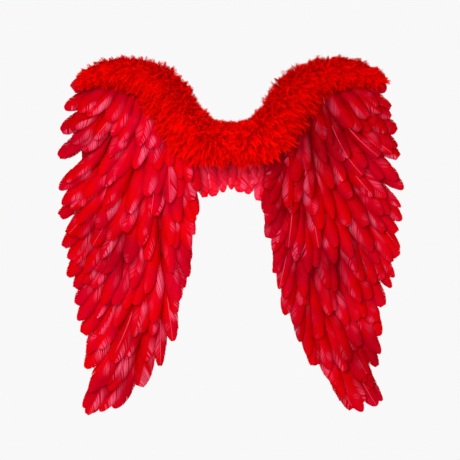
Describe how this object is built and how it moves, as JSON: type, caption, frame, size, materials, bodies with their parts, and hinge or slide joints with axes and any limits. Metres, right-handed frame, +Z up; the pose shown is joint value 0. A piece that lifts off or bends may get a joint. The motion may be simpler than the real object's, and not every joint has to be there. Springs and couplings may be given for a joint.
{
  "type": "costume angel wings",
  "caption": "Pair of feathered costume wings: rows of feathers on felt boards, a fluffy trim along the top, and a back pad with elastic shoulder loops.",
  "frame": {"origin": "middle of the back pad's rear face, where the wings rest on the wearer's back", "axes": "+Z up, +X to the right seen from the feathered side, +Y out of the pad's rear face towards the wearer"},
  "size_m": [0.5974, 0.2085, 0.6253],
  "materials": {
    "feather": "dyed goose feather, satin",
    "fluff": "dyed marabou, matt and fluffy",
    "felt": "matt felt",
    "elastic": "ribbed elastic webbing"
  },
  "bodies": {
    "root": {"back_pad": "felt", "left_board": "felt", "left_feather_row_01": "feather", "left_feather_row_02": "feather", "left_feather_row_03": "feather", "left_feather_row_04": "feather", "left_feather_row_05": "feather", "left_feather_row_06": "feather", "left_feather_row_07": "feather", "left_feather_row_08": "feather", "left_feather_row_09": "feather", "left_feather_row_10": "feather", "left_feather_row_11": "feather", "left_feather_row_12": "feather", "left_strap": "elastic", "left_trim": "fluff", "middle_fringe": "feather", "right_board": "felt", "right_feather_row_01": "feather", "right_feather_row_02": "feather", "right_feather_row_03": "feather", "right_feather_row_04": "feather", "right_feather_row_05": "feather", "right_feather_row_06": "feather", "right_feather_row_07": "feather", "right_feather_row_08": "feather", "right_feather_row_09": "feather", "right_feather_row_10": "feather", "right_feather_row_11": "feather", "right_feather_row_12": "feather", "right_strap": "elastic", "right_trim": "fluff"}
  },
  "joints": []
}
